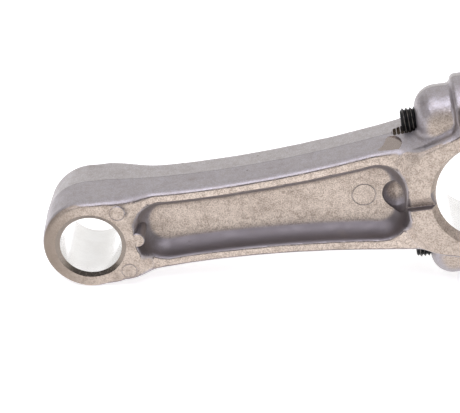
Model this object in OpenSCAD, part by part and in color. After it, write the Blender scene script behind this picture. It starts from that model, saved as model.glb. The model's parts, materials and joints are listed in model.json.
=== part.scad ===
// Connecting rod of a small engine: cast aluminium rod and cap, two cap bolts.
// The origin is the centre of the crankpin bore. The rod lies along -X, the bores along Y.

/* [Bores] */
// Distance from the crankpin centre to the wrist pin centre
centre_distance = 128.5; // [120:0.5:140]
// Diameter of the wrist pin bore
pin_bore_d = 20; // [18:0.5:21]
// Diameter of the crankpin bore
crank_bore_d = 34; // [32:0.5:34.5]
// Width of both ends along the bores
boss_width = 29; // [27:0.5:31]

/* [Small end] */
// Outside diameter of the small end
small_end_d = 30.4; // [28:0.2:32]
// Chamfer at each mouth of the wrist pin bore
pin_chamfer = 1.4; // [0.5:0.1:2]
// Diameter of the ejector pads around the small end
pad_d = 4.9; // [4:0.1:6]

/* [Beam] */
// Width of the beam along the bores
beam_width = 21; // [18:0.5:23]
// Half height of the beam at its waist
waist_half = 13.4; // [12.5:0.1:15]
// Place of the waist along the rod
waist_x = -92; // [-98:1:-86]
// Radius of the long curves that widen the beam from the waist to the big end
flank_r = 385; // [350:5:450]
// Radius of the curves that widen it from the waist to the small end
flank_pin_r = 240; // [220:5:300]
// Thickness of the web between the two pockets
web_thickness = 6; // [4:0.5:8]
// Thickness of the flanges beside the pockets
flange = 2.9; // [2.5:0.1:4]

/* [Big end] */
// Radius of the thrust faces around the crankpin bore
thrust_r = 25.3; // [24:0.1:26.5]
// Radial width of the relief at the mouth of the crankpin bore
relief_w = 2; // [1:0.1:2.5]
// Depth of the relief along the bore
relief_depth = 3.2; // [1:0.1:4]
// Height above the centreline at which the oil groove's slanted floor meets the thrust face
groove_top = 2.8; // [2:0.1:4]
// Depth of the oil groove at its wall, below the centreline
groove_depth = 2.4; // [1:0.1:3]

/* [Cap bolts] */
// Distance between the two bolt axes
bolt_spacing = 46; // [46:0.5:48]
// Outside diameter of the thread
thread_d = 8; // [7:1:8]
// Length of each bolt under its head
bolt_length = 40; // [36:1:45]
// Radius of the boss around each bolt
bolt_boss_r = 10.2; // [9.5:0.1:11]
// Radius of the flange of each boss at the split
split_flange_r = 12.8; // [12:0.1:13.5]
// Height of the bolt seats of the cap above the split
seat_x = 15; // [14:0.1:18]

/* [Hidden] */
$fn = 96;
eps = 0.01;
aluminium = [0.70, 0.68, 0.65];
black_oxide = [0.13, 0.13, 0.13];

pin_x = -centre_distance;
pin_bore_r = pin_bore_d / 2;
crank_bore_r = crank_bore_d / 2;
small_end_r = small_end_d / 2;
bolt_z = bolt_spacing / 2;

// Bolt bosses of the rod: end of the boss, start of the split flange
boss_end_x = -20;
split_flange_x = -8;
cap_flange_x = 6;

// Pockets: ends, end half heights and corner radius
pocket_left = -114.2;
pocket_right = -26.2;
pocket_corner = 6.5;

// Oil pocket at the big end of each web, ejector mark on the web
oil_pocket_x = -29.6;
oil_pocket_r = 4.8;
oil_pocket_depth = 1.8;
ejector_x = -39.6;
ejector_r = 3.8;
ejector_line = 0.35;
groove_wall_z = -2;

// Bolt: clearances, head and thread root
tapped_clearance = 0.06;
cap_hole_clearance = 0.3;
head_af = 12;
head_height = 7.6;
head_flange_r = 8.2;
head_flange_h = 1.6;
spot_face_r = 8.8;

// Half height of the beam at x: a long arc on either side of the waist
function flank(x) =
    let (r = x < waist_x ? flank_pin_r : flank_r)
    waist_half + r - sqrt(r * r - pow(x - waist_x, 2));

// Points of an arc about [cx, cz]
function arc(cx, cz, r, from, to, steps = 8) =
    [for (i = [0 : steps]) let (a = from + (to - from) * i / steps) [cx + r * cos(a), cz + r * sin(a)]];

// An outline in X and Z, extruded along the bores
module slab(width) {
    rotate([90, 0, 0])
        linear_extrude(height = width, center = true)
            children();
}

// What lies outside a flank of radius r, from x0 to x1
module beyond_flank(r, x0, x1) {
    intersection() {
        translate([waist_x, waist_half + r])
            circle(r = r, $fn = 360);
        translate([x0, 0])
            square([x1 - x0, 4 * small_end_d]);
    }
}

// The outline between the two flanks, from x0 to x1, no higher than the small end beside it
module between_flanks(x0, x1) {
    difference() {
        translate([x0, -2 * small_end_d])
            square([x1 - x0, 4 * small_end_d]);
        for (side = [0, 1])
            mirror([0, side]) {
                beyond_flank(flank_r, waist_x, 1);
                beyond_flank(flank_pin_r, pin_x - 1, waist_x + eps);
                translate([pin_x - 1, small_end_r])
                    square([waist_x - pin_x, 4 * small_end_d]);
            }
    }
}

// The upper edge of a pocket, from its left end to its right end
function pocket_edge() =
    let (
        c = pocket_corner,
        left_top = flank(pocket_left + c) - flange,
        right_top = flank(pocket_right - c) - flange - 0.8,
        steps = 8
    )
    concat(
        arc(pocket_left + c, left_top - c, c, 180, 90),
        [for (i = [1 : steps - 1])
            let (x = pocket_left + c + (pocket_right - pocket_left - 2 * c) * i / steps)
            [x, flank(x) - flange - 0.8 * i / steps]],
        arc(pocket_right - c, right_top - c, c, 90, 0)
    );

module pocket_outline() {
    edge = pocket_edge();
    n = len(edge);
    polygon(concat(edge, [for (i = [n - 1 : -1 : 0]) [edge[i][0], -edge[i][1]]]));
}

// Cylinder along the rod, from x0 to x1
module along_rod(r, x0, x1) {
    translate([x0, 0, 0])
        rotate([0, 90, 0])
            cylinder(r = r, h = x1 - x0);
}

// Cone at a bore's mouth on the face at side * width / 2
module mouth(r, w, depth, width) {
    for (side = [-1, 1])
        rotate([-90 * side, 0, 0])
            translate([0, 0, width / 2 - depth])
                cylinder(r1 = r, r2 = r + w, h = depth + eps);
}

module crank_bore() {
    slab(2 * boss_width)
        circle(r = crank_bore_r);
    mouth(crank_bore_r, relief_w, relief_depth, boss_width);
}

// Pads on the front half, where the die pushed the casting out
module ejector_pads() {
    for (a = [-45, 0, 45])
        translate([pin_x + small_end_r * cos(a), -boss_width / 4, small_end_r * sin(a)])
            slab(boss_width / 2)
                circle(d = pad_d);
}

module bolt_bosses(end_x, flange_from, flange_to, far_x) {
    for (side = [-1, 1])
        translate([0, 0, side * bolt_z]) {
            along_rod(bolt_boss_r, min(end_x, far_x), max(end_x, far_x));
            along_rod(split_flange_r, flange_from, flange_to);
        }
}

// One side's pocket with its ejector mark and oil pocket
module pocket_side(side) {
    depth = (boss_width - web_thickness) / 2;
    floor_y = web_thickness / 2;
    translate([0, side * (floor_y + depth / 2 + 1), 0])
        slab(depth + 2)
            difference() {
                pocket_outline();
                if (side < 0)
                    translate([pin_x + small_end_r, 0])
                        circle(d = pad_d);
            }
    translate([oil_pocket_x, side * floor_y, 0])
        slab(2 * oil_pocket_depth)
            intersection() {
                circle(r = oil_pocket_r);
                translate([-oil_pocket_r, -oil_pocket_r])
                    square([oil_pocket_r + (pocket_right - oil_pocket_x), 2 * oil_pocket_r]);
            }
    if (side < 0)
        translate([ejector_x, -floor_y, 0])
            slab(2 * ejector_line)
                difference() {
                    circle(r = ejector_r);
                    circle(r = ejector_r - 2 * ejector_line);
                }
    translate([pocket_right - 1, 0, 0])
        rotate([90, 0, 90])
            linear_extrude(height = -pocket_right + 1 - crank_bore_r + 2)
                polygon([
                    [side * (boss_width / 2 - groove_depth), groove_wall_z],
                    [side * (boss_width / 2 + 1), groove_wall_z],
                    [side * (boss_width / 2 + 1), groove_top + (groove_top - groove_wall_z) / groove_depth],
                ]);
}

module rod_body() {
    color(aluminium)
        difference() {
            union() {
                translate([pin_x, 0, 0])
                    slab(boss_width)
                        circle(r = small_end_r);
                ejector_pads();
                slab(beam_width)
                    between_flanks(pin_x, 0);
                slab(boss_width)
                    intersection() {
                        circle(r = thrust_r);
                        between_flanks(-thrust_r - 1, 0);
                    }
                bolt_bosses(boss_end_x, split_flange_x, 0, 0);
            }
            translate([pin_x, 0, 0]) {
                slab(2 * boss_width)
                    circle(r = pin_bore_r);
                mouth(pin_bore_r, pin_chamfer, pin_chamfer, boss_width);
            }
            crank_bore();
            for (side = [-1, 1]) {
                pocket_side(side);
                translate([0, 0, side * bolt_z])
                    along_rod(thread_d / 2 + tapped_clearance, -seat_x - bolt_length, 1);
            }
        }
}

module bearing_cap() {
    color(aluminium)
        difference() {
            union() {
                slab(boss_width)
                    intersection() {
                        circle(r = thrust_r);
                        translate([0, -thrust_r])
                            square([thrust_r, 2 * thrust_r]);
                    }
                slab(beam_width)
                    translate([0, -bolt_z])
                        square([seat_x - 1, bolt_spacing]);
                bolt_bosses(0, 0, cap_flange_x, seat_x);
            }
            crank_bore();
            for (side = [-1, 1])
                translate([0, 0, side * bolt_z]) {
                    along_rod(thread_d / 2 + cap_hole_clearance, -1, seat_x + 1);
                    along_rod(spot_face_r, seat_x, thrust_r + 1);
                }
        }
}

// Cap bolt with its thread end towards -X and a hexagon flange head on the seat
module cap_bolt() {
    color(black_oxide) {
        along_rod(thread_d / 2, seat_x - bolt_length, seat_x + eps);
        along_rod(head_flange_r, seat_x, seat_x + head_flange_h);
        translate([seat_x, 0, 0])
            rotate([0, 90, 0])
                cylinder(d = head_af / cos(30), h = head_height, $fn = 6);
    }
}

module upper_cap_bolt() {
    translate([0, 0, bolt_z])
        cap_bolt();
}

module lower_cap_bolt() {
    translate([0, 0, -bolt_z])
        cap_bolt();
}

rod_body();
bearing_cap();
upper_cap_bolt();
lower_cap_bolt();
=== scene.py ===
import bpy
import json
import math
import time
import numpy as np
from mathutils import Matrix, Vector


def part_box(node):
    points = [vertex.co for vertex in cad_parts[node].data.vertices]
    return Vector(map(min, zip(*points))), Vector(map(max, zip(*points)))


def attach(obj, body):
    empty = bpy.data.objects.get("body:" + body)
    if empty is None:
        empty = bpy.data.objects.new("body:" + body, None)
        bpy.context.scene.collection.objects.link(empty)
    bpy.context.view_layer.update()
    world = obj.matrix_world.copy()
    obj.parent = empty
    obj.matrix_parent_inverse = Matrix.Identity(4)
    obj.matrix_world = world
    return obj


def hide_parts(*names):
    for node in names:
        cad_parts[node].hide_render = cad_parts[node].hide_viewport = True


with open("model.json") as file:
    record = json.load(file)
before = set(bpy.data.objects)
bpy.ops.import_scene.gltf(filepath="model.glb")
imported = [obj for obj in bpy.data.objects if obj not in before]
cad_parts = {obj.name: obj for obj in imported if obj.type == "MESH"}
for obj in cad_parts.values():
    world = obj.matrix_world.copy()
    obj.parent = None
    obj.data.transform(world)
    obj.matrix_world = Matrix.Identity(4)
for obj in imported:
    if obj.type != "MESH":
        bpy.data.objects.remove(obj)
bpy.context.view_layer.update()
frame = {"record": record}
mm = 0.001
startTime = time.time()


def say(text):
    print("%5.1f s  %s" % (time.time() - startTime, text))

# places taken from the frame, in millimetres
mounts = {m["name"]: m for m in frame["record"]["mounts"]}
rodLow, rodHigh = [np.array(c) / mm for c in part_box("rod_body")]
capLow, capHigh = [np.array(c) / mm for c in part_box("bearing_cap")]
boltLow, boltHigh = [np.array(c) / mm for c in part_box("upper_cap_bolt")]

pinX = mounts["wrist_pin_bore"]["pos_m"][0] / mm
pinBoreR = mounts["wrist_pin_bore"]["dims"]["r_mm"]
crankBoreR = mounts["crankpin_bore"]["dims"]["r_mm"]
halfWidth = -mounts["crank_thrust_front"]["pos_m"][1] / mm  # of both ends, along the bores
smallR = pinX - rodLow[0]
boltZ = (boltLow[2] + boltHigh[2]) / 2
boltTipX = boltLow[0]
headTopX = boltHigh[0]
splitFlangeR = rodHigh[2] - boltZ
thrustR = capHigh[0]
boltLength = 40.0  # under the head
seatX = boltTipX + boltLength

# how the castings' surfaces are drawn
splitStock = 3.0   # what a casting has beyond the split before it is cut
meshEnd = 4.2      # how far beyond the split the drawing reaches
meshMargin = 0.9   # and how far around the casting
cellSize = 0.6
farInside = -99    # a field's value well inside a body


# distance fields: negative inside, whole arrays in millimetres

def roundCut(a, b, r):
    # the space in both a and b, its outer edge rounded to r
    both = np.hypot(np.maximum(r + a, 0), np.maximum(r + b, 0))
    return np.minimum(-r, np.maximum(a, b)) + both


def roundJoin(a, b, r):
    # the space in a or b, with a fillet of radius r between them
    both = np.hypot(np.maximum(r - a, 0), np.maximum(r - b, 0))
    return np.maximum(r, np.minimum(a, b)) - both


def easeStep(t):
    t = np.clip(t, 0, 1)
    return t * t * (3 - 2 * t)


rodShape = {
    "beamHalf": 10.6,       # half width of the I-beam
    "waistHalf": 13.4,      # half height at the waist
    "waistX": -92.0,
    "flankR": 385.0,        # the long curve of both flanks, from the waist to the crankpin
    "flankPinR": 240.0,     # and from the waist to the wrist pin
    "flange": 3.75,         # thickness of the flanges beside the pockets
    "flangeGain": 0.8,      # how much thicker they get towards the crankpin
    "flangeGainOver": 90.0,
    "webHalf": 3.0,
    "draft": 0.035,         # taper of the side walls away from the parting line
    "swell": 0.25,          # how far the flanks stand outside the long curve
    "rootLean": 2.1,        # how much further the upper flank leans in below the bolt boss
    "rootLeanBelow": 0.25,  # the lower flank's share of that
    "leanFrom": 3.0,        # the lean grows from here towards the front face
    "leanOver": 7.6,
    "leanX": -21.0,         # where along the rod it is strongest
    "leanReach": 16.0,
    "edge": 1.5,            # rounding of the outer edges, seen from the front
    "edgeReach": 1.7,       # how many times further it reaches along the sides
    "skirt": 0.45,          # how much wider the small end is below its edge rounding
    "ramp": 3.2,            # length of the slope from the small end's face down to the beam
    "rampBeside": 9.0,      # how much longer it is beside the upper flank
    "rampInset": 0.2,
    "crankRamp": 4.4,       # the same for the thrust faces
    "crankRampBeside": 3.0,
    "besideFrom": 5.0,      # heights over which the slopes get longer
    "besideOver": 9.0,
    "besideBelow": 0.4,     # the lower flank's share of that
    "pocketLeft": -113.3,
    "pocketRight": -26.8,
    "pocketCorner": 9.5,
    "pocketDraft": 0.07,
    "pocketFillet": 8.6,    # radius of the hollow walls of the pockets
    "pocketCrease": 27.0,   # angle at which they meet the web
    "pocketFoot": 1.2,
    "rimEdge": 0.9,
    "padR": 2.45,
    "padAngle": 45.0,       # the upper and lower pads, from the middle one
    "bossEndX": -20.4,
    "bossRound": 7.0,
    "flangeX": -8.4,
    "rootFillet": 2.6,
    "grooveTop": 2.8,       # the oil groove's slanted floor runs from here
    "grooveWall": -2.0,     # to a wall here
    "grooveDepth": 2.4,
    "grooveCorner": 0.5,
    "grooveEdge": 0.35,
    "grooveOverlap": 2.0,   # how far it runs into the pocket
}

bossShape = {
    "radius": 10.2,
    "flangeRound": 1.7,
    "flangeFillet": 1.3,
}


def flankField(x, height, inset=0.0):
    # how far a point lies outside the long curve of a flank
    s = rodShape
    radius = np.where(x < s["waistX"], s["flankPinR"], s["flankR"])
    return radius + inset - np.hypot(x - s["waistX"], height - s["waistHalf"] - radius)


def bossField(radius, pastEnd, endRound, pastFlange):
    # a bolt boss and its wider flange at the split, both turned about the bolt, with a fillet between them
    s = bossShape
    boss = roundCut(radius - s["radius"], pastEnd, endRound)
    flange = roundCut(radius - splitFlangeR, pastFlange, s["flangeRound"])
    return roundJoin(boss, flange, s["flangeFillet"])


def pocketPlan(x, y, z):
    # the outline of the pockets: the flank's curve moved inwards, closed at both ends, narrower with depth
    s = rodShape
    gain = s["flangeGain"] * (1 - easeStep(-x / s["flangeGainOver"]))
    plan = flankField(x, np.abs(z), s["flange"] + gain)
    plan = roundCut(plan, s["pocketLeft"] - x, s["pocketCorner"])
    plan = roundCut(plan, x - s["pocketRight"], s["pocketCorner"])
    return plan + s["pocketDraft"] * (s["beamHalf"] - np.abs(y))


def pocketField(x, y, z):
    # the plan sunk to the web, with hollow walls of one radius that meet the web at an angle
    s = rodShape
    ay = np.abs(y)
    sink = s["pocketFillet"] * (1 - math.cos(math.radians(s["pocketCrease"])))
    pocket = roundCut(pocketPlan(x, y, z), s["webHalf"] - sink - ay, s["pocketFillet"])
    return roundCut(pocket, s["webHalf"] - ay, s["pocketFoot"])


def grooveField(x, y, z):
    # the oil groove across each thrust face: a floor that slants down from the face into a wall
    s = rodShape
    slope = s["grooveDepth"] / (s["grooveTop"] - s["grooveWall"])
    floor = (halfWidth - np.abs(y) - slope * (s["grooveTop"] - z)) / math.hypot(1, slope)
    groove = roundCut(floor, s["grooveWall"] - z, s["grooveCorner"])
    return np.maximum(groove, s["pocketRight"] - s["grooveOverlap"] - x)


def rodHalfWidth(x, y, z):
    # full at both ends and less along the beam, eased over slopes that are longer beside the flanks, most of
    # all the upper one. The front face runs on straight between the middle pad and the lower one.
    s = rodShape
    outPin = np.hypot(x - pinX, z) - smallR
    turn = math.radians(-s["padAngle"])
    barX, barZ = smallR * (math.cos(turn) - 1), smallR * math.sin(turn)
    share = np.clip(((x - pinX - smallR) * barX + z * barZ) / (barX ** 2 + barZ ** 2), 0, 1)
    fromBar = np.hypot(x - pinX - smallR - share * barX, z - share * barZ) - s["padR"]
    fromFace = np.where(y < 0, np.minimum(outPin, fromBar), outPin)
    beside = easeStep((np.abs(z) - s["besideFrom"]) / s["besideOver"])
    beside = beside * np.where(z > 0, 1.0, s["besideBelow"])
    atPin = 1 - easeStep((fromFace + s["rampInset"]) / (s["ramp"] + s["rampBeside"] * beside))
    outCrank = np.hypot(x, z) - thrustR
    atCrank = 1 - easeStep(outCrank / (s["crankRamp"] + s["crankRampBeside"] * beside))
    return s["beamHalf"] + (halfWidth - s["beamHalf"]) * np.maximum(atPin, atCrank)


def rodField(x, y, z):
    # the beam and the small end rounded into the faces, bosses joined on, pockets and grooves taken out
    s = rodShape
    ay, az = np.abs(y), np.abs(z)
    taper = s["draft"] * (s["beamHalf"] - ay) + s["swell"]
    lean = np.where(z > 0, s["rootLean"], s["rootLeanBelow"] * s["rootLean"])
    lean = lean * np.clip((-y - s["leanFrom"]) / s["leanOver"], 0, 1)
    lean = lean * (1 - easeStep(np.abs(x - s["leanX"]) / s["leanReach"]))
    level = np.where(x < s["waistX"], az - smallR, farInside)  # no higher than the small end beside it
    beam = np.maximum(flankField(x, az), level)
    beam = np.maximum(beam - taper + lean, pinX - x)
    smallEnd = np.hypot(x - pinX, z) - smallR - s["skirt"] + s["swell"] - taper
    face = (ay - rodHalfWidth(x, y, z)) / s["edgeReach"]
    body = roundCut(np.minimum(beam, smallEnd), face, s["edge"])

    boss = bossField(np.hypot(y, az - boltZ), s["bossEndX"] - x, s["bossRound"], s["flangeX"] - x)
    body = roundJoin(body, boss, s["rootFillet"])
    body = roundCut(body, -pocketField(x, y, z), s["rimEdge"])
    body = roundCut(body, -grooveField(x, y, z), s["grooveEdge"])
    return np.maximum(body, x - splitStock)


capShape = {
    "flangeX": 6.0,
    "draft": 0.03,
    "draftFrom": 5.0,
    "edge": 1.0,
    "cheekHalf": 10.5,      # half width of the body between the bosses
    "cheekBack": 1.5,       # how far its end lies below the bolt seats
    "cheekRound": 2.0,
    "seatRound": 0.8,
    "rootFillet": 3.0,
}


def capField(x, y, z):
    # a drafted half ring, joined with fillets to the cheeks between the bosses and to the bosses
    s = capShape
    ay, az = np.abs(y), np.abs(z)
    outRing = np.hypot(x, z) - thrustR + s["draft"] * (ay - s["draftFrom"])
    ring = roundCut(outRing, ay - halfWidth, s["edge"])
    cheek = roundCut(az - boltZ, ay - s["cheekHalf"], s["edge"])
    cheek = roundCut(cheek, x - seatX + s["cheekBack"], s["cheekRound"])
    body = roundJoin(ring, cheek, s["rootFillet"])
    boss = bossField(np.hypot(y, az - boltZ), x - seatX, s["seatRound"], x - s["flangeX"])
    return np.maximum(roundJoin(body, boss, s["rootFillet"]), -splitStock - x)


# from a field to a closed mesh

def fieldMesh(field, low, high, cell):
    # one vertex in each cell that the surface crosses, at the mean of its crossings, then moved on to it
    counts = [int(math.ceil((high[i] - low[i]) / cell)) + 1 for i in range(3)]
    axes = [low[i] + cell * np.arange(counts[i]) for i in range(3)]
    x, y, z = np.meshgrid(*axes, indexing="ij")
    value = field(x, y, z)
    inside = value < 0

    corner = [(i, j, k) for i in (0, 1) for j in (0, 1) for k in (0, 1)]
    size = [n - 1 for n in counts]

    def part(array, c):
        return array[c[0]:c[0] + size[0], c[1]:c[1] + size[1], c[2]:c[2] + size[2]]

    filled = sum(part(inside, c).astype(np.int8) for c in corner)
    active = (filled > 0) & (filled < 8)
    index = np.full(active.shape, -1, np.int64)
    index[active] = np.arange(active.sum())

    total = np.zeros((active.sum(), 3))
    crossings = np.zeros(active.sum())
    for a in corner:
        for axis in range(3):
            if a[axis]:
                continue
            b = tuple(c + (n == axis) for n, c in enumerate(a))
            va, vb = part(value, a)[active], part(value, b)[active]
            cut = (va < 0) != (vb < 0)
            t = np.where(cut, va / np.where(cut, va - vb, 1), 0)
            spot = np.tile(np.array(a, float), (len(va), 1))
            spot[:, axis] = t
            total[cut] += spot[cut]
            crossings[cut] += 1
    base = np.argwhere(active)
    points = np.array(low) + cell * (base + total / crossings[:, None])

    step = 0.02
    for _ in range(4):  # Newton steps along the field's slope
        px, py, pz = points.T
        here = field(px, py, pz)
        slope = np.stack([field(px + step, py, pz) - field(px - step, py, pz),
                          field(px, py + step, pz) - field(px, py - step, pz),
                          field(px, py, pz + step) - field(px, py, pz - step)], 1) / (2 * step)
        norm = np.maximum((slope ** 2).sum(1), 0.2)
        move = -(here / norm)[:, None] * slope
        length = np.linalg.norm(move, axis=1, keepdims=True)
        points = points + move * np.minimum(1, 0.35 * cell / np.maximum(length, 1e-9))

    quads = []
    for axis in range(3):
        u, v = (axis + 1) % 3, (axis + 2) % 3
        first = [slice(None)] * 3
        second = [slice(None)] * 3
        first[axis], second[axis] = slice(0, -1), slice(1, None)
        for c in (u, v):
            first[c] = second[c] = slice(1, -1)
        a, b = inside[tuple(first)], inside[tuple(second)]
        spots = np.argwhere(a != b)
        outward = a[a != b]
        spots[:, u] += 1
        spots[:, v] += 1
        around = []
        for du, dv in ((-1, -1), (0, -1), (0, 0), (-1, 0)):
            c = spots.copy()
            c[:, u] += du
            c[:, v] += dv
            around.append(index[c[:, 0], c[:, 1], c[:, 2]])
        quad = np.stack(around, 1)
        quads.append(np.where(outward[:, None], quad, quad[:, ::-1]))
    return points, np.concatenate(quads)


def outwardFaces(mesh):
    # a closed mesh with a negative volume is inside out
    mesh.calc_loop_triangles()
    corners = np.empty(len(mesh.loop_triangles) * 3, np.int32)
    mesh.loop_triangles.foreach_get("vertices", corners)
    points = np.empty(len(mesh.vertices) * 3)
    mesh.vertices.foreach_get("co", points)
    a, b, c = points.reshape(-1, 3)[corners.reshape(-1, 3)].transpose(1, 0, 2)
    if (a * np.cross(b, c)).sum() < 0:
        mesh.flip_normals()


def makeMesh(name, points, faces):
    mesh = bpy.data.meshes.new(name)
    faces = faces.tolist() if isinstance(faces, np.ndarray) else faces
    mesh.from_pydata((np.asarray(points) * mm).tolist(), [], faces)
    mesh.validate()
    outwardFaces(mesh)
    return mesh


def makeObject(name, mesh):
    piece = bpy.data.objects.new(name, mesh)
    bpy.context.scene.collection.objects.link(piece)
    return piece


def wrapFaces(rows, steps):
    # quads between each row of points and the next, all the way round, and a fan at each end to a pole point
    i, j = np.meshgrid(np.arange(rows - 1), np.arange(steps), indexing="ij")
    k = (j + 1) % steps
    quads = np.stack([i * steps + j, i * steps + k, (i + 1) * steps + k, (i + 1) * steps + j], -1)
    around = np.arange(steps)
    after = (around + 1) % steps
    last = (rows - 1) * steps
    start = np.stack([after, around, np.full(steps, rows * steps)], 1)
    end = np.stack([last + around, last + after, np.full(steps, rows * steps + 1)], 1)
    return quads.reshape(-1, 4).tolist() + start.tolist() + end.tolist()


def turned(name, profile, origin, axis, steps):
    # a closed body of revolution: profile is (radius, along) from pole to pole
    profile = np.asarray(profile, float)
    angle = np.arange(steps) * 2 * math.pi / steps
    radius, along = profile[1:-1, 0], profile[1:-1, 1]
    ring = np.stack([np.outer(radius, np.cos(angle)), np.outer(radius, np.sin(angle)),
                     np.outer(along, np.ones(steps))], -1).reshape(-1, 3)
    points = np.concatenate([ring, [[0, 0, profile[0, 1]], [0, 0, profile[-1, 1]]]])
    turn = {"X": np.array([[0, 0, 1], [1, 0, 0], [0, 1, 0]]),
            "Y": np.array([[0, 1, 0], [0, 0, 1], [1, 0, 0]]),
            "Z": np.eye(3)}[axis]
    points = points @ turn.T + np.array(origin)
    return makeObject(name, makeMesh(name, points, wrapFaces(len(radius), steps)))


def cutWith(piece, cutters, added=()):
    # joins the added bodies to a piece, takes the cutters away from it, and leaves a plain mesh
    cutters = list(added) + cutters
    for cutter in cutters:
        modifier = piece.modifiers.new(cutter.name, "BOOLEAN")
        modifier.operation = "UNION" if cutter in added else "DIFFERENCE"
        modifier.object = cutter
        modifier.solver = "MANIFOLD"
    graph = bpy.context.evaluated_depsgraph_get()
    mesh = bpy.data.meshes.new_from_object(piece.evaluated_get(graph))
    piece.modifiers.clear()
    piece.data = mesh
    for cutter in cutters:
        bpy.data.objects.remove(cutter)


def smoothShade(mesh, degrees):
    mesh.shade_smooth()
    mesh.set_sharp_from_angle(angle=math.radians(degrees))


def faceData(mesh):
    centre = np.empty(len(mesh.polygons) * 3)
    normal = np.empty(len(mesh.polygons) * 3)
    mesh.polygons.foreach_get("center", centre)
    mesh.polygons.foreach_get("normal", normal)
    return centre.reshape(-1, 3) / mm, normal.reshape(-1, 3)


def readPoints(mesh):
    points = np.empty(len(mesh.vertices) * 3)
    mesh.vertices.foreach_get("co", points)
    return points.reshape(-1, 3) / mm


# camera, placed before anything is modelled

cameraView = {
    "azimuth": -6.22,
    "elevation": 28.16,
    "roll": -10.24,
    "distance": 547.2,
    "lens": 131.1,
    "aimAlong": 0.649,     # where the camera looks, along the rod from crankpin to wrist pin
}


def makeCamera():
    v = cameraView
    a, e, roll = [math.radians(v[k]) for k in ("azimuth", "elevation", "roll")]
    forward = np.array([math.sin(a) * math.cos(e), math.cos(a) * math.cos(e), -math.sin(e)])
    right = np.array([math.cos(a), -math.sin(a), 0])
    up = np.cross(right, forward)
    right, up = (math.cos(roll) * right + math.sin(roll) * up,
                 math.cos(roll) * up - math.sin(roll) * right)
    data = bpy.data.cameras.new("camera")
    data.lens = v["lens"]
    data.sensor_width = 36
    data.clip_start, data.clip_end = 0.01, 20
    camera = bpy.data.objects.new("camera", data)
    bpy.context.scene.collection.objects.link(camera)
    place = Matrix(np.stack([right, up, -forward], 1).tolist()).to_4x4()
    aim = np.array([v["aimAlong"] * pinX, 0, 0.2])
    place.translation = Vector((aim - forward * v["distance"]) * mm)
    camera.matrix_world = place
    bpy.context.scene.camera = camera


makeCamera()


# materials

def newMaterial(name):
    material = bpy.data.materials.new(name)
    material.use_nodes = True
    tree = material.node_tree
    shader = tree.nodes["Principled BSDF"]
    return material, tree, shader


def addNode(tree, kind, inputs=None, **settings):
    node = tree.nodes.new(kind)
    for key, value in settings.items():
        setattr(node, key, value)
    for key, value in (inputs or {}).items():
        socket = node.inputs[key]
        if isinstance(value, bpy.types.NodeSocket):
            tree.links.new(value, socket)
        else:
            socket.default_value = value
    return node


def mixColour(tree, factor, a, b):
    node = addNode(tree, "ShaderNodeMix", data_type="RGBA")
    for socket, value in ((node.inputs[0], factor), (node.inputs[6], a), (node.inputs[7], b)):
        if isinstance(value, bpy.types.NodeSocket):
            tree.links.new(value, socket)
        else:
            socket.default_value = value
    return node.outputs[2]


def mathNode(tree, operation, a, b=0.5, clamp=False):
    return addNode(tree, "ShaderNodeMath", {0: a, 1: b}, operation=operation, use_clamp=clamp).outputs[0]


def between(tree, value, low, high, toLow=0.0, toHigh=1.0):
    return addNode(tree, "ShaderNodeMapRange",
                   {"Value": value, "From Min": low, "From Max": high, "To Min": toLow, "To Max": toHigh},
                   interpolation_type="SMOOTHSTEP").outputs[0]


def noise(tree, place, scale, detail, roughness=0.5):
    settings = {"Vector": place, "Scale": scale, "Detail": detail, "Roughness": roughness}
    return addNode(tree, "ShaderNodeTexNoise", settings).outputs["Fac"]


def attribute(tree, name):
    return addNode(tree, "ShaderNodeAttribute", attribute_name=name).outputs["Fac"]


def times(tree, a, b):
    return mathNode(tree, "MULTIPLY", a, b)


def addBump(tree, shader, height, strength, distance):
    settings = {"Height": height, "Strength": strength, "Distance": distance * mm}
    bump = addNode(tree, "ShaderNodeBump", settings)
    tree.links.new(bump.outputs[0], shader.inputs["Normal"])


castFinish = {
    "face": (0.71, 0.615, 0.535, 1),       # grainy faces square to the bores
    "faceDark": (0.38, 0.31, 0.26, 1),
    "side": (0.46, 0.435, 0.465, 1),       # smoother skin of the side walls, in front of the parting line
    "sideFarPaintedLight": (0.54, 0.515, 0.53, 1),     # and behind it, with painted light: lighter, as the far half's draft faces a brighter part of the room
    "paintedShade": (0.19, 0.17, 0.176, 1),      # painted shade on the walls inside the pockets, the groove walls, the crankpin bore's mouth and beside the split flanges
    "stain": (0.27, 0.22, 0.18, 1),
    "paintedEdgeShade": (0.11, 0.095, 0.10, 1),       # painted shade: a dark line on the rounded edge where a face turns into a wall, for the dark reflection there
    "seam": (0.16, 0.15, 0.16, 1),
    "pit": (0.14, 0.12, 0.10, 1),
    "sidePatches": 0.42,                   # share of stain in the patches of the side walls
    "raisedStain": 0.2,                    # on the raised faces of both ends
    "bossStain": 0.3,
    "blotchStain": 0.4,
    "seamShow": 0.55,
    "pitShow": 0.6,
    "smoky": (-17, 4),                     # the face gets browner here, along the rod from the wrist pin
    "raised": (11.8, 13.4),                # distances from the parting plane
    "bosses": (21, 24),                    # and from the plane through both bores
    "beyondBeam": (0.1, 0.6),              # the slopes at both ends start this far outside the beam's faces
    "seamHalf": (0.05, 0.28),
    "metallic": 0.86,
    "faceRoughness": 0.52,
    "sideRoughness": 0.43,
    "grain": 2300.0,                       # scales of the patterns, per metre
    "mottle": 520.0,
    "pits": 210.0,
    "blotches": 160.0,
    "clouds": 38.0,
    "bumpDistance": 0.12,
}


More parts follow.
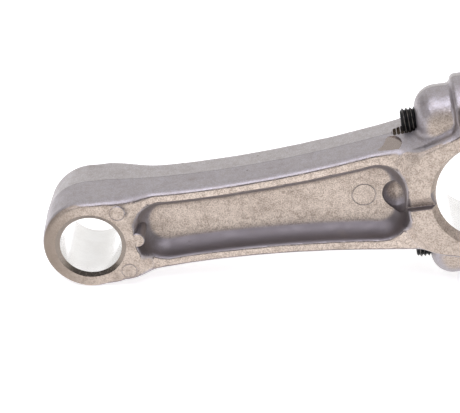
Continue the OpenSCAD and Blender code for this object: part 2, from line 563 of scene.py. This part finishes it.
def castAluminium():
    # warm grain on the faces, smoother and cooler walls, a parting line, a few pits and stains
    f = castFinish
    material, tree, shader = newMaterial("castAluminium")
    coords = addNode(tree, "ShaderNodeTexCoord")
    place = coords.outputs["Object"]
    axes = addNode(tree, "ShaderNodeSeparateXYZ", {0: place})
    facing = addNode(tree, "ShaderNodeSeparateXYZ", {0: coords.outputs["Normal"]})
    square = mathNode(tree, "ABSOLUTE", facing.outputs[1])
    depth = mathNode(tree, "ABSOLUTE", axes.outputs[1])
    paintedShade = attribute(tree, "paintedShade")
    edges = attribute(tree, "edges")

    # the slopes at both ends have the faces' grain too, away from hollows and from the outline
    start, full = [(rodShape["beamHalf"] + more) * mm for more in f["beyondBeam"]]
    beyond = between(tree, depth, start, full)
    beyond = times(tree, beyond, between(tree, paintedShade, 0.0, 0.5, 1.0, 0.0))
    beyond = times(tree, beyond, mathNode(tree, "SUBTRACT", 1.0, edges))
    ramps = times(tree, beyond, between(tree, square, 0.3, 0.5))
    faceOn = mathNode(tree, "MAXIMUM", between(tree, square, 0.72, 0.95), ramps)

    grain = noise(tree, place, f["grain"], 3.0, 0.65)
    blotch = noise(tree, place, f["blotches"], 4.0, 0.6)
    cloud = noise(tree, place, f["clouds"], 2.0)
    mottle = noise(tree, place, f["mottle"], 2.0)
    speckle = mathNode(tree, "ADD", times(tree, grain, 0.74), times(tree, mottle, 0.26))
    pits = addNode(tree, "ShaderNodeTexVoronoi", {"Vector": place, "Scale": f["pits"], "Randomness": 1.0})
    pit = between(tree, pits.outputs["Distance"], 0.05, 0.13, 1.0, 0.0)
    pit = times(tree, pit, between(tree, cloud, 0.56, 0.66))

    # the line where the two halves of the die met, on the walls only
    thin, wide = [half * mm for half in f["seamHalf"]]
    seam = between(tree, depth, thin, wide, 1.0, 0.0)
    seam = times(tree, seam, mathNode(tree, "SUBTRACT", 1.0, faceOn))
    farHalf = between(tree, axes.outputs[1], -0.1 * mm, 0.1 * mm)

    faceColour = mixColour(tree, between(tree, speckle, 0.36, 0.62), f["faceDark"], f["face"])
    smoky = between(tree, axes.outputs[0], *[(pinX + x) * mm for x in f["smoky"]], 1.0, 0.0)
    raised = between(tree, depth, *[y * mm for y in f["raised"]], 0.0, f["raisedStain"])
    onBoss = between(tree, mathNode(tree, "ABSOLUTE", axes.outputs[2]), *[z * mm for z in f["bosses"]])
    for share in (smoky, raised, times(tree, onBoss, f["bossStain"])):
        faceColour = mixColour(tree, share, faceColour, f["stain"])
    # the far half of the walls painted lighter, for the brighter light it takes
    sideColour = mixColour(tree, farHalf, f["side"], f["sideFarPaintedLight"])
    patchy = between(tree, speckle, 0.4, 0.62, f["sidePatches"], 0.0)
    sideColour = mixColour(tree, patchy, sideColour, f["stain"])
    # painted shade on the side walls in the pockets, grooves, the bore's mouth and beside the split flanges
    sideColour = mixColour(tree, paintedShade, sideColour, f["paintedShade"])
    colour = mixColour(tree, faceOn, sideColour, faceColour)

    # painted shade: a dark, broken line on the rounded edges between the faces and the walls
    corner = times(tree, between(tree, square, 0.78, 0.88), between(tree, square, 0.93, 0.99, 1.0, 0.0))
    corner = times(tree, corner, edges)
    broken = between(tree, mottle, 0.35, 0.55, 0.35, 0.9)
    layers = [
        (times(tree, corner, broken), f["paintedEdgeShade"]),
        (between(tree, blotch, 0.58, 0.8, 0.0, f["blotchStain"]), f["stain"]),
        (times(tree, seam, f["seamShow"]), f["seam"]),
        (times(tree, pit, f["pitShow"]), f["pit"]),
    ]
    for share, tint in layers:
        colour = mixColour(tree, share, colour, tint)
    tree.links.new(colour, shader.inputs["Base Color"])
    shader.inputs["Metallic"].default_value = f["metallic"]

    rough = between(tree, faceOn, 0.0, 1.0, f["sideRoughness"], f["faceRoughness"])
    rough = mathNode(tree, "ADD", rough, between(tree, blotch, 0.3, 0.7, -0.05, 0.07))
    tree.links.new(rough, shader.inputs["Roughness"])

    height = times(tree, grain, between(tree, faceOn, 0.0, 1.0, 0.6, 1.0))
    height = mathNode(tree, "SUBTRACT", height, times(tree, pit, 1.2))
    height = mathNode(tree, "SUBTRACT", height, times(tree, seam, 0.8))
    height = mathNode(tree, "ADD", height, times(tree, blotch, 1.1))
    lumpy = times(tree, onBoss, 3.6)  # the bosses are rougher
    height = mathNode(tree, "ADD", height, times(tree, mottle, lumpy))
    addBump(tree, shader, height, 0.55, f["bumpDistance"])
    return material


machinedFinish = {
    "bright": (0.92, 0.915, 0.91, 1),
    "smeared": (0.87, 0.86, 0.85, 1),
    "ringScale": (60.0, 9000.0, 60.0),  # fine along the bores, coarse across them
    "smears": 120.0,
}


def machinedAluminium():
    # bored and milled surfaces: bright, with fine tool rings along the bore
    f = machinedFinish
    material, tree, shader = newMaterial("machinedAluminium")
    place = addNode(tree, "ShaderNodeTexCoord").outputs["Object"]
    rings = addNode(tree, "ShaderNodeMapping", {"Vector": place, "Scale": f["ringScale"]})
    lines = noise(tree, rings.outputs[0], 1.0, 2.0)
    smear = noise(tree, place, f["smears"], 3.0)
    colour = mixColour(tree, between(tree, smear, 0.35, 0.7), f["bright"], f["smeared"])
    tree.links.new(colour, shader.inputs["Base Color"])
    shader.inputs["Metallic"].default_value = 1.0
    tree.links.new(between(tree, lines, 0.3, 0.7, 0.2, 0.27), shader.inputs["Roughness"])
    addBump(tree, shader, lines, 0.25, 0.02)
    return material


dullAndShadedFinishes = {
    "flatCutAluminium": [(0.335, 0.285, 0.26, 1), (0.40, 0.345, 0.32, 1)],
    # the wrist pin bore's cones: a warm dull cut, made darker with painted shade for the dark reflection in
    # them
    "shadedConeAluminium": [(0.20, 0.17, 0.145, 1), (0.29, 0.25, 0.215, 1)],
    # the tap's run-outs: brown-black painted shadow
    "shadedRunOutAluminium": [(0.11, 0.085, 0.065, 1), (0.20, 0.16, 0.125, 1)],
}


def dullAndShadedCut(name):
    # small machined places: the flat gone dull and warm; the wrist pin bore's cones and the tap's run-outs
    # darkened with painted shade
    material, tree, shader = newMaterial(name)
    place = addNode(tree, "ShaderNodeTexCoord").outputs["Object"]
    grain = noise(tree, place, 700.0, 2.0)
    tree.links.new(mixColour(tree, grain, *dullAndShadedFinishes[name]), shader.inputs["Base Color"])
    shader.inputs["Metallic"].default_value = 0.95
    tree.links.new(between(tree, grain, 0.3, 0.7, 0.2, 0.28), shader.inputs["Roughness"])
    addBump(tree, shader, grain, 0.2, 0.03)
    return material


oxideFinish = {
    "black": (0.022, 0.022, 0.023, 1),
    "worn": (0.075, 0.068, 0.06, 1),
    "rubbed": (0.24, 0.22, 0.20, 1),  # on the crests of the thread
    "wear": 420.0,
    "grain": 3000.0,
}


def blackOxide():
    # black oxide on steel, rubbed brown-grey in places, with an oily sheen
    f = oxideFinish
    material, tree, shader = newMaterial("blackOxide")
    place = addNode(tree, "ShaderNodeTexCoord").outputs["Object"]
    wear = noise(tree, place, f["wear"], 4.0, 0.7)
    colour = mixColour(tree, between(tree, wear, 0.5, 0.75), f["black"], f["worn"])
    rubbed = times(tree, between(tree, attribute(tree, "crest"), 0.8, 1.0), between(tree, wear, 0.35, 0.6))
    colour = mixColour(tree, rubbed, colour, f["rubbed"])
    tree.links.new(colour, shader.inputs["Base Color"])
    shader.inputs["Metallic"].default_value = 0.85
    tree.links.new(between(tree, wear, 0.3, 0.7, 0.3, 0.46), shader.inputs["Roughness"])
    addBump(tree, shader, noise(tree, place, f["grain"], 2.0), 0.3, 0.03)
    return material


castSkin = castAluminium()
machined = machinedAluminium()
cutFlat, coneShadedCut, runOutShadedCut = [dullAndShadedCut(name) for name in dullAndShadedFinishes]
oxide = blackOxide()
say("camera and materials")


boltShape = {
    "pitch": 1.25,
    "majorR": 3.98,
    "minorR": 3.3,
    "threadTo": 4.0,       # where the thread ends, along the rod
    "threadFade": 1.5,
    "tipR": 3.05,          # the thread's coned start
    "tipSlope": 1.1,
    "acrossFlats": 12.0,
    "cornerR": 6.93,
    "flangeR": 8.2,
    "flangeH": 1.7,
    "dish": 0.4,           # depth of the hollow in the head's top
    "shankWear": 0.35,
    "perTurn": 72,
    "perPitch": 12,
}

# the cutters that shape the castings, in millimetres
machining = {
    "overrun": 2.0,                      # how far a bore's cutter runs past both faces
    "pinMouth": (1.45, 0.8),             # width and depth of the cones at the wrist pin bore
    "pinConeTilt": 0.875,                # how square to the faces those cones stand
    "crankMouth": (2.0, 3.2),
    "tapR": 4.06,
    "tapFrom": 6.0,                      # the tap's cutter starts here, beyond the split
    "tapLip": 0.5,                       # width and depth of the cone where the hole leaves the boss
    "runOut": 7.2,                       # length of the half threads over the beam
    "runOutDepth": 0.42,
    "runOutBand": (4.2, 4.7),            # where their brown surface of painted shadow lies, from the bolt's middle
    "holeR": 4.3,
    "spotFaceR": 8.8,
    "oilBig": 5.8,                       # radii at the oil pocket's round end and towards the bore
    "oilSmall": 4.5,
    "oilDepth": 2.6,
    "oilX": -28.9,
    "oilZ": -0.9,
    "flatPlace": (-29.8, -6.3, 18.34),   # the small flat beside the upper bolt's end
    "flatLean": 0.16,
    "flatR": 4.3,
    "markX": -39.6,                      # the ejector mark in the front pocket
    "markR": 3.8,
    "markLine": 0.24,
    "padLine": 0.2,
    "padRise": 0.03,
}


def boreCutter(name, x, radius, mouth):
    # a bore with a coned mouth at both faces, as one turned body
    mouthWidth, mouthDepth = mouth
    overrun = machining["overrun"]
    reach = halfWidth + overrun
    wide = radius + mouthWidth * (1 + overrun / mouthDepth)
    inner = halfWidth - mouthDepth
    rows = [(0, -reach), (wide, -reach), (radius, -inner)]
    rows += [(radius, y) for y in np.linspace(-inner, inner, 9)[1:-1]]
    rows += [(radius, inner), (wide, reach), (0, reach)]
    return turned(name, rows, (x, 0, 0), "Y", 240)


def tapCutter(name, z):
    # tapped hole: plain through the boss, and half threads where the tap ran out over the beam
    m, pitch = machining, boltShape["pitch"]
    radius, start, end = m["tapR"], m["tapFrom"], rodShape["bossEndX"]
    lip, gap = radius + m["tapLip"], 0.1
    rows = [(0, start), (radius, start), (radius, end + m["tapLip"]), (lip, end), (lip, end - gap)]
    x = end - gap
    while x > end - m["runOut"]:
        rows += [(radius, x - gap), (radius + m["runOutDepth"], x - pitch / 2), (radius, x - pitch + gap)]
        x -= pitch
    rows += [(radius, x - 2 * gap), (0, x - 2.6)]
    return turned(name, rows[::-1], (0, 0, z), "X", 96)


def holeCutter(name, z):
    # clearance hole of the cap, with the spot face for the bolt's flange
    hole, face = machining["holeR"], machining["spotFaceR"]
    start, end = -6, 30
    rows = [(0, start), (hole, start), (hole, seatX), (face, seatX), (face, end), (0, end)]
    return turned(name, rows, (0, 0, z), "X", 120)


def ringCutter(name, x, y, z, radius, tube):
    # an engraved circle: a thin torus lying on a face
    steps, around = 96, 10
    i, j = np.meshgrid(np.arange(steps), np.arange(around), indexing="ij")
    a, b = i * 2 * math.pi / steps, j * 2 * math.pi / around
    reach = radius + tube * np.cos(b)
    points = np.stack([x + reach * np.cos(a), y + tube * np.sin(b), z + reach * np.sin(a)], -1)
    ii, jj = (i + 1) % steps, (j + 1) % around
    quads = np.stack([i * around + j, i * around + jj, ii * around + jj, ii * around + j], -1)
    return makeObject(name, makeMesh(name, points.reshape(-1, 3), quads.reshape(-1, 4)))


def troughCutter(name, side):
    # the oil pocket at the end of the web: a bullet lying along the rod, narrower towards the bore
    s, m = rodShape, machining
    big, end = m["oilBig"], s["pocketRight"] + 0.3
    turn = np.radians(np.linspace(0, 90, 14))
    rows = [(big * math.sin(t), m["oilX"] - big * math.cos(t)) for t in turn]
    rows += [(m["oilSmall"], end), (0, end)]
    return turned(name, rows, (0, side * (s["webHalf"] + big - m["oilDepth"]), m["oilZ"]), "X", 96)


def blockCutter(name, low, high):
    x, y, z = [(low[i], high[i]) for i in range(3)]
    points = [(a, b, c) for a in x for b in y for c in z]
    faces = [(0, 1, 3, 2), (4, 6, 7, 5), (0, 4, 5, 1), (2, 3, 7, 6), (0, 2, 6, 4), (1, 5, 7, 3)]
    return makeObject(name, makeMesh(name, points, faces))


flatPlace = np.array(machining["flatPlace"])
flatNormal = np.array([0.0, -machining["flatLean"], 1.0]) / math.hypot(machining["flatLean"], 1)


def flatCutter(name):
    # the small flat beside the upper bolt's end: the round end of a tool, leaning a little
    radius, height = machining["flatR"], 6
    tool = turned(name, [(0, 0), (radius, 0), (radius, height), (0, height)], (0, 0, 0), "Z", 96)
    place = Vector(flatNormal).to_track_quat("Z", "Y").to_matrix().to_4x4()
    place.translation = Vector(flatPlace) * mm
    tool.data.transform(place)
    return tool


def padPlace(angle):
    # a point of the small end's round, by its angle from the middle pad
    turn = math.radians(angle)
    return pinX + smallR * math.cos(turn), smallR * math.sin(turn)


def padBody(name, angle, inner):
    # where an ejector pin pushed: a short round column, level with the small end's front face
    r, top = rodShape["padR"], halfWidth + machining["padRise"]
    edge, draft = 0.25, 0.12
    rows = [(0, -top), (r - edge, -top), (r, -top + edge), (r + draft, -inner), (0, -inner)]
    x, z = padPlace(angle)
    return turned(name, rows, (x, 0, z), "Y", 64)


def surfaceKinds(mesh, field):
    # 0 cast skin, 1 bored or milled, 2 cones of the wrist pin bore, 3 where a tap ran out, 4 the small flat
    m = machining
    centre, normal = faceData(mesh)
    x, y, z = centre.T
    fromPin = np.hypot(x - pinX, z)
    fromBolt = np.hypot(y, np.abs(z) - boltZ)
    onBore, onFlat, spread = 0.08, 0.02, 0.1  # how near a face's middle is to its own surface
    pin = np.abs(fromPin - pinBoreR) < onBore
    crank = np.abs(np.hypot(x, z) - crankBoreR) < onBore
    split = (np.abs(x) < onFlat) & (np.abs(normal[:, 0]) > 0.99)
    seat = (np.abs(x - seatX) < onFlat) & (fromBolt < m["spotFaceR"] + spread)
    cone = (fromPin < pinBoreR + 1.5) & (fromPin > pinBoreR + 0.05)
    cone &= np.abs(np.abs(normal[:, 1]) - m["pinConeTilt"]) < 0.03
    flat = (normal @ flatNormal > 0.9995) & (np.abs((centre - flatPlace) @ flatNormal) < onFlat)
    near, far = m["runOutBand"]
    towardsBolt = normal[:, 2] * (boltZ - np.abs(z)) * np.sign(z)
    tapped = (x < rodShape["bossEndX"]) & (fromBolt > near) & (fromBolt < far) & (towardsBolt > -0.2)
    tapped &= np.abs(field(x, y, z)) > 0.06
    return np.select([pin | crank | split | seat, cone, tapped, flat], [1, 2, 3, 4], 0).astype(np.int32)


# how strong the painted shade is in each place
paintedShades = {
    "pocketAbove": 0.45,  # how much lighter the pocket's walls are above the web
    "pocketLeft": 0.35,   # and at the left end
    "groove": 0.9,
    "mouth": 0.6,
    "ledge": 0.55,        # beside the split flanges
}


def paintedHollowShade(x, y, z):
    # painted shade, from 0 for open skin up to 1 for the darkest hollow: pocket walls, groove walls, the
    # crankpin bore's mouth and the ledge beside the split flanges
    s = rodShape
    fromCrank = np.hypot(x, z)
    depth = halfWidth - np.abs(y)
    width, mouthDepth = machining["crankMouth"]
    slack = 0.05
    mouth = (fromCrank > crankBoreR + slack) & (fromCrank < crankBoreR + width - slack)
    mouth &= depth < mouthDepth + slack
    groove = (depth > 0.15) & (depth < 2.2) & (np.abs(z - s["grooveWall"]) < 0.3)
    groove &= (x > s["pocketRight"] - 1) & (x < 0)
    oil = (np.abs(y) < s["webHalf"] - 0.1) & (x < s["pocketRight"] + 1)
    ledge = (depth > 1.9) & (depth < 3.9) & (np.abs(z) > 17) & (x > -19) & (x < -7)
    wall = 1 - paintedShades["pocketAbove"] * easeStep((z + 1) / 4)
    wall *= 1 - paintedShades["pocketLeft"] * easeStep((s["pocketLeft"] + 11 - x) / 8)
    inPocket = pocketPlan(x, y, z) < 0.5
    levels = [0.0, wall, paintedShades["groove"], paintedShades["mouth"], paintedShades["ledge"]]
    return np.select([oil, inPocket, groove, mouth, ledge], levels, 0.0)


def edgeMask(x, y, z):
    # 1 along the outline, the pockets' rims and the pads, but not on the bolt bosses: where the painted
    # shade line along the edges goes
    s = rodShape
    outline = np.minimum(flankField(x, np.abs(z)), np.hypot(x - pinX, z) - smallR)
    turn = math.radians(s["padAngle"])
    fromPad = np.hypot(x - pinX - smallR * math.cos(turn), np.abs(z) - smallR * math.sin(turn))
    edges = (outline > -1.5) | (np.abs(pocketPlan(x, y, z)) < 1.2) | (np.abs(fromPad - s["padR"]) < 0.6)
    return (edges & (np.hypot(y, np.abs(z) - boltZ) > bossShape["radius"] + 0.8)).astype(float)


def addAttribute(mesh, name, values):
    mesh.attributes.new(name, "FLOAT", "POINT").data.foreach_set("value", values)


def dressCasting(piece, field):
    # bores, seats and the split face are bright; everything else keeps its cast skin
    mesh = piece.data
    kinds = surfaceKinds(mesh, field)
    mesh.materials.clear()
    for material in (castSkin, machined, coneShadedCut, runOutShadedCut, cutFlat):
        mesh.materials.append(material)
    mesh.polygons.foreach_set("material_index", kinds)
    smoothShade(mesh, 32)
    sharpBetween(mesh, kinds)
    x, y, z = readPoints(mesh).T
    # how much painted shade each point gets
    addAttribute(mesh, "paintedShade", paintedHollowShade(x, y, z))
    addAttribute(mesh, "edges", edgeMask(x, y, z))
    castNormals(mesh, field, kinds)


def castNormals(mesh, field, kinds):
    # cast surfaces are shaded by the slope of the field, so that the mesh doesn't show
    points = readPoints(mesh)
    slope = []
    for axis in range(3):
        step = np.zeros(3)
        step[axis] = 0.08
        slope.append(field(*(points + step).T) - field(*(points - step).T))
    slope = np.stack(slope, 1)
    slope /= np.maximum(np.linalg.norm(slope, axis=1, keepdims=True), 1e-9)
    near = np.abs(field(*points.T)) < 0.05

    loopVertex = np.empty(len(mesh.loops), np.int32)
    mesh.loops.foreach_get("vertex_index", loopVertex)
    size = np.empty(len(mesh.polygons), np.int32)
    mesh.polygons.foreach_get("loop_total", size)
    faceNormal = np.repeat(faceData(mesh)[1], size, axis=0)
    corners = np.empty(len(mesh.loops) * 3)
    mesh.corner_normals.foreach_get("vector", corners)
    corners = corners.reshape(-1, 3)
    wanted = slope[loopVertex]
    cast = near[loopVertex] & (np.repeat(kinds, size) == 0) & ((wanted * faceNormal).sum(1) > 0.8)
    mesh.normals_split_custom_set(np.where(cast[:, None], wanted, corners).tolist())


def sharpBetween(mesh, kinds):
    # edges between two kinds of surface stay crisp
    loopEdge = np.empty(len(mesh.loops), np.int32)
    mesh.loops.foreach_get("edge_index", loopEdge)
    size = np.empty(len(mesh.polygons), np.int32)
    mesh.polygons.foreach_get("loop_total", size)
    loopKind = np.repeat(kinds, size)
    low = np.full(len(mesh.edges), 9)
    high = np.full(len(mesh.edges), -1)
    np.minimum.at(low, loopEdge, loopKind)
    np.maximum.at(high, loopEdge, loopKind)
    sharp = np.empty(len(mesh.edges), bool)
    mesh.edges.foreach_get("use_edge_sharp", sharp)
    mesh.edges.foreach_set("use_edge_sharp", sharp | (low != high))


def uneven(field, seed):
    # the same field with the slow unevenness of a casting: a few crossed sine waves
    count, height = 7, 0.06
    random = np.random.default_rng(seed)
    directions = random.normal(size=(count, 3))
    lengths = random.uniform(5, 16, (count, 1))
    directions *= 2 * math.pi / (lengths * np.linalg.norm(directions, axis=1, keepdims=True))
    phases = random.uniform(0, 6, count)

    def wavy(x, y, z):
        total = sum(np.sin(a * x + b * y + c * z + phase) for (a, b, c), phase in zip(directions, phases))
        return field(x, y, z) - height * total / count
    return wavy


def makeCasting(name, field, low, high):
    points, quads = fieldMesh(field, low, high, cellSize)
    return makeObject(name, makeMesh(name, points, quads))


def makeRod():
    s, m = rodShape, machining
    low, high = rodLow - meshMargin, rodHigh + meshMargin
    high[0] = meshEnd
    field = uneven(rodField, 3)
    rod = makeCasting("rodCasting", field, low, high)
    say("rod surface, %d faces" % len(rod.data.polygons))
    cutters = [
        boreCutter("pinBore", pinX, pinBoreR, m["pinMouth"]),
        boreCutter("crankBore", 0, crankBoreR, m["crankMouth"]),
        tapCutter("upperTap", boltZ),
        tapCutter("lowerTap", -boltZ),
        blockCutter("splitCut", (0, -30, -60), (10, 30, 60)),
        troughCutter("oilPocket", -1),
        troughCutter("oilPocket", 1),
        flatCutter("toolFlat"),
        ringCutter("ejectorMark", m["markX"], -s["webHalf"] - 0.02, 0, m["markR"], m["markLine"]),
    ]
    for angle in (-s["padAngle"], s["padAngle"]):
        x, z = padPlace(angle)
        cutters.append(ringCutter("padLine", x, -halfWidth - 0.04, z, s["padR"] + 0.05, m["padLine"]))
    pads = [padBody("pad", -s["padAngle"], 9.0), padBody("pad", 0, 2.0), padBody("pad", s["padAngle"], 9.0)]
    cutWith(rod, cutters, pads)
    dressCasting(rod, field)
    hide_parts("rod_body")
    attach(rod, "rod")
    say("rod machined, %d faces" % len(rod.data.polygons))


def makeCap():
    low, high = capLow - meshMargin, capHigh + meshMargin
    low[0] = -meshEnd
    field = uneven(capField, 5)
    cap = makeCasting("capCasting", field, low, high)
    cutWith(cap, [
        boreCutter("crankBore", 0, crankBoreR, machining["crankMouth"]),
        holeCutter("upperHole", boltZ),
        holeCutter("lowerHole", -boltZ),
        blockCutter("splitCut", (-10, -30, -60), (0, 30, 60)),
    ])
    dressCasting(cap, field)
    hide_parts("bearing_cap")
    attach(cap, "cap")
    say("cap, %d faces" % len(cap.data.polygons))


def boltProfile():
    # rows of (radius, along): first the shank, the fillet under the head and the flange, then the hexagon
    s = boltShape
    top, neck = headTopX, seatX + s["flangeH"]
    major, flange, corner = s["majorR"], s["flangeR"], s["cornerR"]
    plain = [(major - 0.05, x) for x in np.linspace(s["threadTo"] + 0.2, seatX - 0.6, 6)]
    plain += [(major, seatX - 0.3), (major + 0.12, seatX - 0.05), (major + 0.4, seatX)]
    plain += [(flange - 0.3, seatX), (flange, seatX + 0.25), (flange, neck - 0.5)]
    plain += [(flange - 0.2, neck - 0.15), (flange - 0.6, neck), (7.05, neck + 0.35)]
    hexagon = [(6.95, neck + 0.5), (corner, neck + 0.8), (corner, top - 1.0)]
    hexagon += [(corner - 1.15 * t ** 1.3, top - 1.0 + t) for t in (0.2, 0.4, 0.6, 0.8, 0.95)]
    hexagon += [(5.6, top), (4.9, top), (4.3, top - 0.35), (2.2, top - s["dish"])]
    return np.array(plain), np.array(hexagon)


def makeBolt(name, z, node, body):
    # one closed surface of rows along the bolt by columns around it. The thread is a ridge that moves on by
    # one pitch in each turn, and the hexagon's radius is the lesser of its profile and its flats.
    s = boltShape
    steps = s["perTurn"]
    angle = np.arange(steps) * 2 * math.pi / steps
    flats = s["acrossFlats"] / 2 / np.cos((angle + math.pi / 6) % (math.pi / 3) - math.pi / 6)

    along = np.arange(boltTipX, s["threadTo"], s["pitch"] / s["perPitch"])
    phase = (along[:, None] / s["pitch"] - angle[None, :] / (2 * math.pi)) % 1
    depth = np.clip(1.3 * np.abs(2 * phase - 1) - 0.12, 0, 1)
    fade = easeStep((s["threadTo"] - 0.3 - along) / s["threadFade"])[:, None]
    thread = s["majorR"] - (s["majorR"] - s["minorR"]) * depth * fade
    thread = np.minimum(thread, s["tipR"] + (along - boltTipX)[:, None] * s["tipSlope"])

    plain, hexagon = boltProfile()
    radius = np.concatenate([thread, plain[:, :1] * np.ones(steps), np.minimum(hexagon[:, :1], flats)])
    along = np.concatenate([along, plain[:, 1], hexagon[:, 1]])
    ring = np.stack([np.repeat(along, steps), (radius * np.cos(angle)).ravel(),
                     (radius * np.sin(angle)).ravel() + z], 1)
    points = np.concatenate([ring, [[boltTipX, 0, z], [headTopX - s["dish"], 0, z]]])
    mesh = makeMesh(name, points, wrapFaces(len(along), steps))
    crest = np.full(len(mesh.vertices), s["shankWear"])
    crest[:len(thread) * steps] = ((thread - s["minorR"]) / (s["majorR"] - s["minorR"])).ravel()
    addAttribute(mesh, "crest", crest)
    smoothShade(mesh, 38)
    mesh.materials.append(oxide)
    bolt = makeObject(name, mesh)
    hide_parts(node)
    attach(bolt, body)


makeRod()
makeCap()
makeBolt("upperBolt", boltZ, "upper_cap_bolt", "upper_bolt")
makeBolt("lowerBolt", -boltZ, "lower_cap_bolt", "lower_bolt")
say("bolts")


# floor and light

studio = {
    "paper": (0.9, 0.9, 0.9, 1),
    "paperGlow": 0.62,
    "paperHalf": 4.0,                    # metres, as are the soft box's places and sizes
    "gap": 0.1,                          # millimetres between the floor and the rod
    "softBoxPower": 1.5,
    "softBoxPlace": (-0.12, -0.38, 0.8),
    "softBoxSize": (0.8, 0.35),
    "softBoxColour": (0.9, 0.93, 1.0),
    "sides": (0.24, 0.22, 0.20, 1),
    # brightness of the surroundings from the horizon in front, over the top, to the horizon behind
    "sky": [(0, 0.9), (6, 0.6), (14, 0.12), (36, 0.12), (50, 1.3), (60, 1.9), (76, 1.7), (92, 0.85),
            (140, 0.85), (150, 0.9), (180, 1.15)],
    "coolFrom": 40,                      # the sky is bluer between these
    "coolTo": 90,
    "cool": 1.1,
    "warm": 0.98,
}


def makeFloor():
    # the rod rests on its narrow side, on the small end's round and the split flange's lower corner
    reach = np.array([rodShape["flangeX"] - pinX, -splitFlangeR - boltZ])
    tilt = math.atan2(-reach[1], reach[0]) - math.asin(smallR / math.hypot(*reach))
    normal = Vector((math.sin(tilt), 0, math.cos(tilt)))
    mesh = bpy.data.meshes.new("floor")
    side = studio["paperHalf"]
    corners = [(-side, -side, 0), (side, -side, 0), (side, side, 0), (-side, side, 0)]
    mesh.from_pydata(corners, [], [(0, 1, 2, 3)])
    floor = makeObject("floor", mesh)
    place = normal.to_track_quat("Z", "Y").to_matrix().to_4x4()
    place.translation = (Vector((pinX, 0, 0)) - normal * (smallR + studio["gap"])) * mm
    mesh.transform(place)
    material, tree, shader = newMaterial("floorPaper")
    shader.inputs["Base Color"].default_value = studio["paper"]
    shader.inputs["Roughness"].default_value = 0.9
    shader.inputs["Specular IOR Level"].default_value = 0.1
    shader.inputs["Emission Color"].default_value = (1, 1, 1, 1)
    shader.inputs["Emission Strength"].default_value = studio["paperGlow"]
    mesh.materials.append(material)


def makeSoftBox():
    # a wide soft light in front and above, turned to the middle of the rod
    data = bpy.data.lights.new("frontAbove", "AREA")
    data.shape = "RECTANGLE"
    data.size, data.size_y = studio["softBoxSize"]
    data.energy = studio["softBoxPower"]
    data.color = studio["softBoxColour"]
    light = bpy.data.objects.new("frontAbove", data)
    bpy.context.scene.collection.objects.link(light)
    light.location = studio["softBoxPlace"]
    middle = Vector((pinX * 0.5 * mm, 0, 0))
    light.rotation_mode = "QUATERNION"
    light.rotation_quaternion = (middle - Vector(studio["softBoxPlace"])).to_track_quat("-Z", "Y")


def makeWorld():
    # a white room with a dark stretch above the viewer, a bright sky beyond it, and darker sides
    world = bpy.data.worlds.new("studio")
    bpy.context.scene.world = world
    world.use_nodes = True
    tree = world.node_tree
    back = tree.nodes["Background"]
    coords = addNode(tree, "ShaderNodeTexCoord")
    direction = addNode(tree, "ShaderNodeSeparateXYZ", {0: coords.outputs["Generated"]})
    front = mathNode(tree, "MULTIPLY", direction.outputs[1], -1.0)
    turn = mathNode(tree, "ARCTAN2", direction.outputs[2], front)
    ramp = addNode(tree, "ShaderNodeValToRGB", {0: mathNode(tree, "DIVIDE", turn, math.pi)})
    steps = ramp.color_ramp.elements
    for _ in studio["sky"][2:]:
        steps.new(0.5)
    for step, (angle, level) in zip(steps, studio["sky"]):
        step.position = angle / 180
        blue = studio["cool"] if studio["coolFrom"] < angle < studio["coolTo"] else studio["warm"]
        step.color = (level, level * 0.99, level * blue, 1)
    aside = between(tree, mathNode(tree, "ABSOLUTE", direction.outputs[0]), 0.45, 0.8)
    aside = times(tree, aside, between(tree, direction.outputs[2], 0.02, 0.16))
    colour = mixColour(tree, aside, ramp.outputs[0], studio["sides"])
    tree.links.new(colour, back.inputs["Color"])


makeFloor()
makeWorld()
makeSoftBox()
bpy.context.scene.view_settings.view_transform = "Standard"
say("stage")
